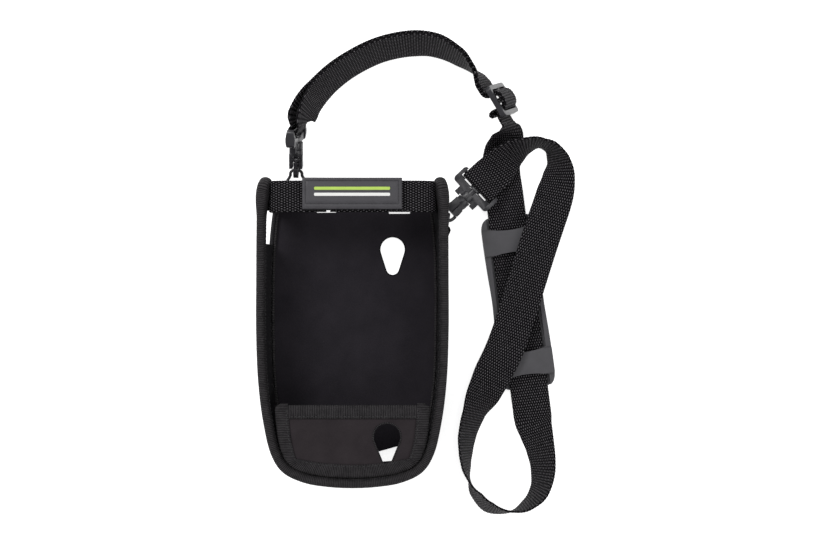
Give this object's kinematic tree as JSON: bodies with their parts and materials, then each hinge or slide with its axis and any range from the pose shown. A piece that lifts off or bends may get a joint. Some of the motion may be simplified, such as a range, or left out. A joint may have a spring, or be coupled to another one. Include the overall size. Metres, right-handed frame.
{
  "type": "instrument carrying holster with shoulder strap",
  "caption": "Soft open-front holster for a handheld tester, with a label bridge, a front pocket and a clip-on webbing shoulder strap with an adjuster and a sliding pad.",
  "frame": {"origin": "on the rear face of the back panel, midway between the side walls, part way up from the closed bottom", "axes": "+X to the right when the open front is faced, +Y towards the open top end, +Z out of the open front, away from the back panel"},
  "size_m": [0.2048, 0.3163, 0.0446],
  "materials": {
    "panel": "smooth laminated nylon over foam, matte",
    "binding": "ribbed grosgrain tape",
    "webbing": "coarse ribbed webbing",
    "patch": "hook and loop tape",
    "label": "moulded satin rubber",
    "plastic": "moulded acetal, satin",
    "pad_rubber": "moulded matte rubber"
  },
  "bodies": {
    "holster": {"left_wall": "panel", "bottom_wall": "panel", "right_wall": "panel", "back_panel": "panel", "pocket_panel": "panel", "rim_binding": "binding", "seam_piping": "binding", "back_top_binding": "binding", "pocket_edge_binding": "binding", "pocket_top_binding": "binding", "bridge_strap_left": "webbing", "bridge_anchor_right": "webbing", "hook_patch": "patch", "left_ring_tab": "webbing", "right_ring_tab": "webbing", "left_swivel_loop": "plastic", "right_swivel_loop": "plastic", "strap_over_adjuster": "webbing", "strap_sewn_end": "webbing", "strap_arc_outer": "webbing", "strap_arc_inner": "webbing", "strap_lower": "webbing", "strap_pad_run": "webbing", "strap_bottom_loop": "webbing", "strap_crossing": "webbing", "strap_top_loop": "webbing", "strap_right_sewn_end": "webbing", "left_strap_turn": "webbing", "right_strap_turn": "webbing"},
    "bridge_flap": {"bridge_strap_right": "webbing", "loop_patch": "patch", "label_backing": "patch", "label_patch": "label"},
    "left_hook": {"left_snap_hook": "plastic", "left_gate_pin": "plastic"},
    "left_gate": {"left_gate": "plastic"},
    "right_hook": {"right_snap_hook": "plastic", "right_gate_pin": "plastic"},
    "right_gate": {"right_gate": "plastic"},
    "left_d_ring": {"left_d_ring": "plastic"},
    "right_d_ring": {"right_d_ring": "plastic"},
    "adjuster": {"adjuster_frame": "plastic"},
    "pad": {"shoulder_pad": "pad_rubber"}
  },
  "joints": [
    {"name": "bridge_open", "type": "hinge", "parent": "holster", "child": "bridge_flap", "pos_m": [0.0493, 0.0864, 0.037], "axis": [0, 1, 0], "range_deg": [0, 90]},
    {"name": "left_swivel", "type": "hinge", "parent": "holster", "child": "left_hook", "pos_m": [-0.0374, 0.1278, 0.0172], "axis": [-0.025, -0.9454, -0.3249], "range_deg": [-12, 12]},
    {"name": "left_gate_open", "type": "hinge", "parent": "left_hook", "child": "left_gate", "pos_m": [-0.0378, 0.11164, 0.0144], "axis": [0.9997, -0.0236, -0.0081], "range_deg": [0, 14], "stiffness_Nm_per_rad": 0.01, "springref_deg": -17.19},
    {"name": "left_ring_swing", "type": "hinge", "parent": "holster", "child": "left_d_ring", "pos_m": [-0.038, 0.0948, 0.0066], "axis": [1, 0, 0], "range_deg": [-6, 6]},
    {"name": "right_swivel", "type": "hinge", "parent": "holster", "child": "right_hook", "pos_m": [0.07938, 0.09254, 0.0096], "axis": [-0.7325, -0.6808, 0], "range_deg": [-12, 12]},
    {"name": "right_gate_open", "type": "hinge", "parent": "right_hook", "child": "right_gate", "pos_m": [0.06928, 0.07961, 0.0096], "axis": [0, 0, -1], "range_deg": [0, 14], "stiffness_Nm_per_rad": 0.01, "springref_deg": -17.19},
    {"name": "right_ring_swing", "type": "hinge", "parent": "holster", "child": "right_d_ring", "pos_m": [0.0602, 0.06582, 0.0096], "axis": [0, 0, 1], "range_deg": [-6, 6]},
    {"name": "adjuster_tilt", "type": "hinge", "parent": "holster", "child": "adjuster", "pos_m": [0.0963, 0.1504, 0.0151], "axis": [-0.3373, -0.1978, 0.9204], "range_deg": [-5, 5]},
    {"name": "pad_slide", "type": "slide", "parent": "holster", "child": "pad", "axis": [0.1271, -0.9919, 0], "range_m": [-0.004, 0.002]}
  ]
}
